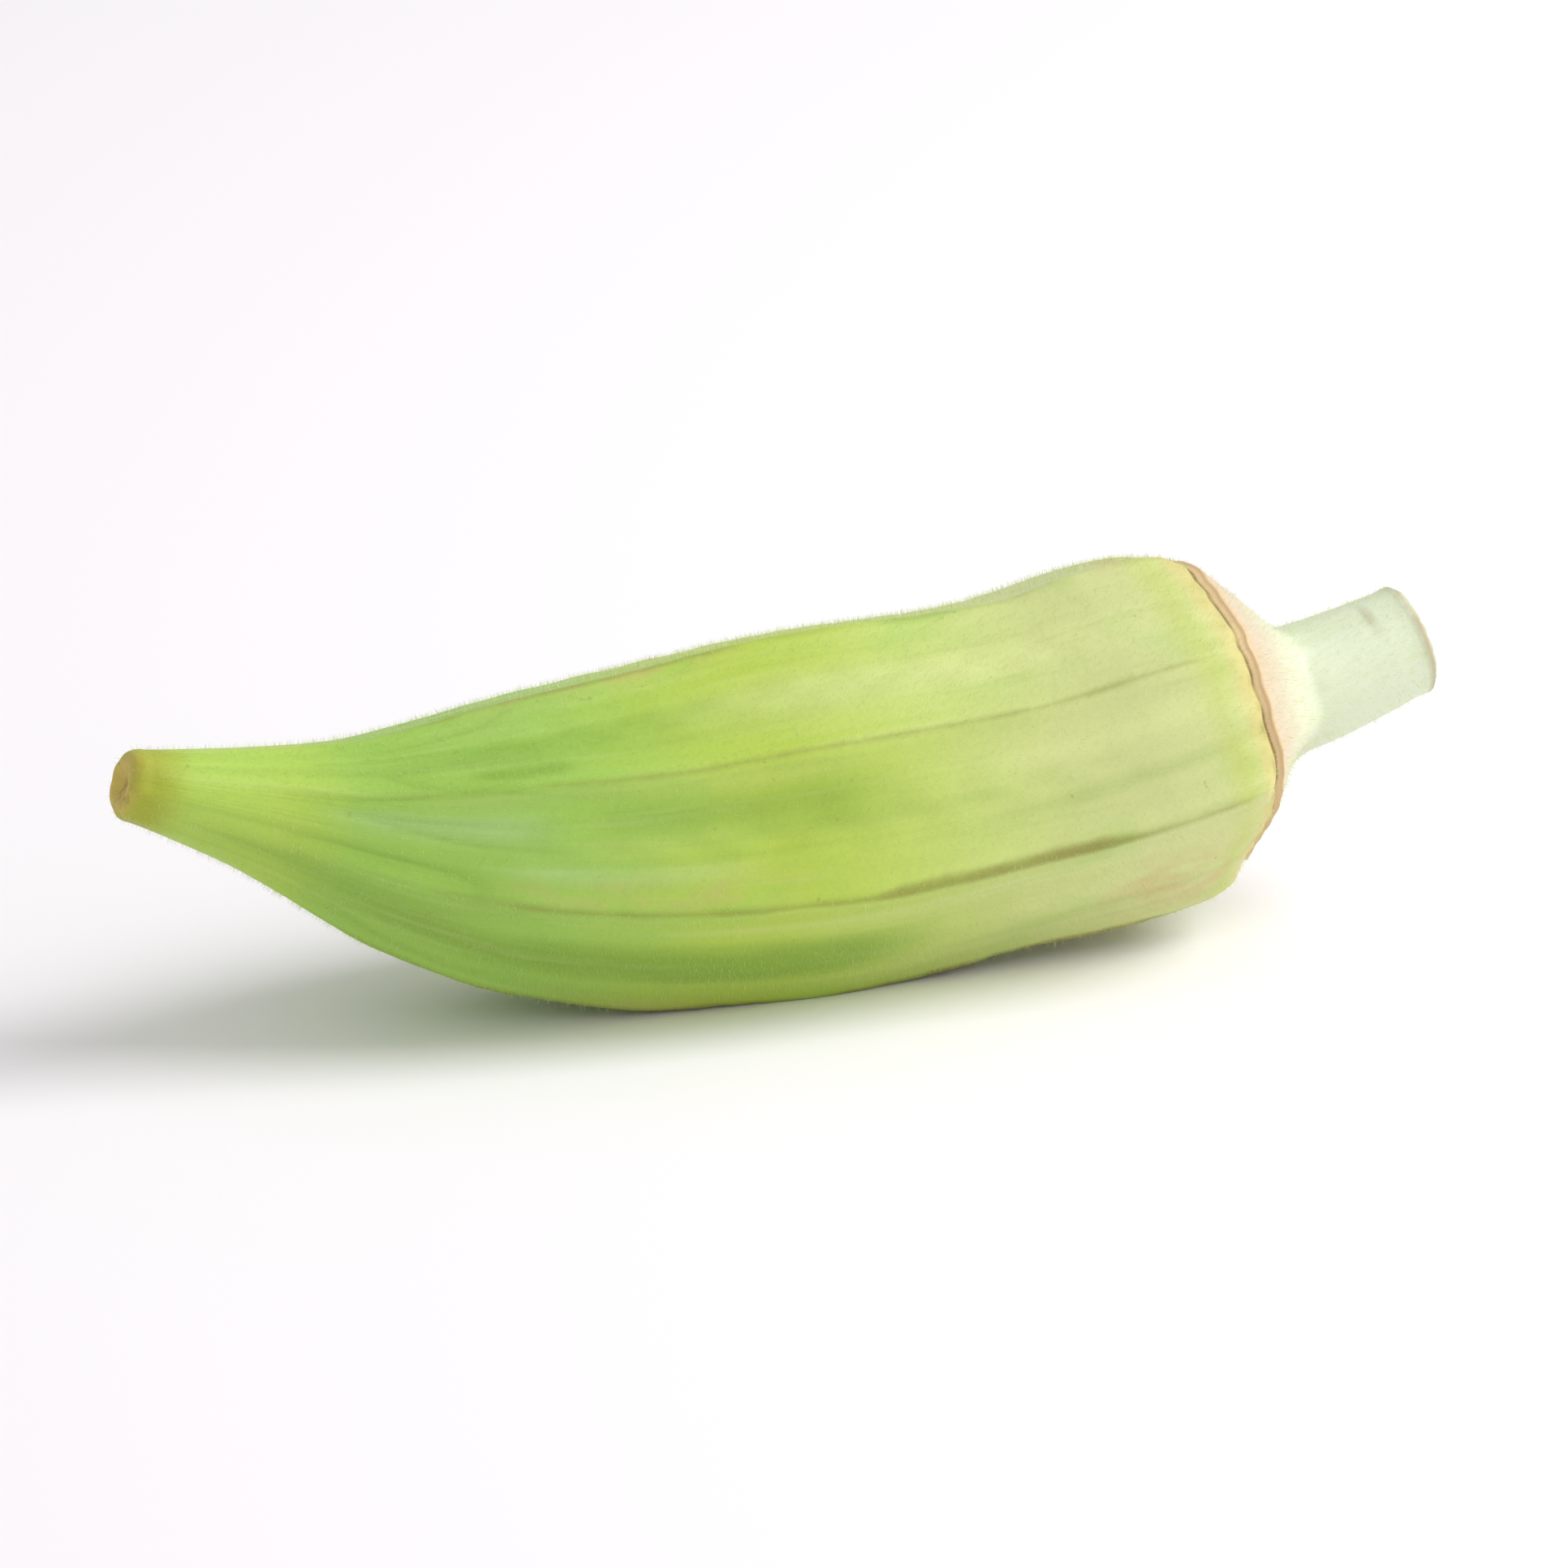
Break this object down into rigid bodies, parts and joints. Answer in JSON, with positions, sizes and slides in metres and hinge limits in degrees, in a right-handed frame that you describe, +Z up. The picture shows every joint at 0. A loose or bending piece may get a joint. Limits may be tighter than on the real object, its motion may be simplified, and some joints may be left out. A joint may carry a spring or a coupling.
{
  "type": "okra pod",
  "caption": "Fresh whole okra pod with ribbed tapering body, scar ring, cone-shaped cap and cut stalk stub, lying on its belly.",
  "frame": {"origin": "on the resting surface, under the middle of the pod's length and width", "axes": "+X along the pod from the blunt tip to the cut stalk, +Z up from the surface that it lies on"},
  "size_m": [0.102, 0.0274, 0.0285],
  "materials": {
    "okra_skin": "satin"
  },
  "bodies": {
    "root": {"okra_pod": "okra_skin"}
  },
  "joints": []
}
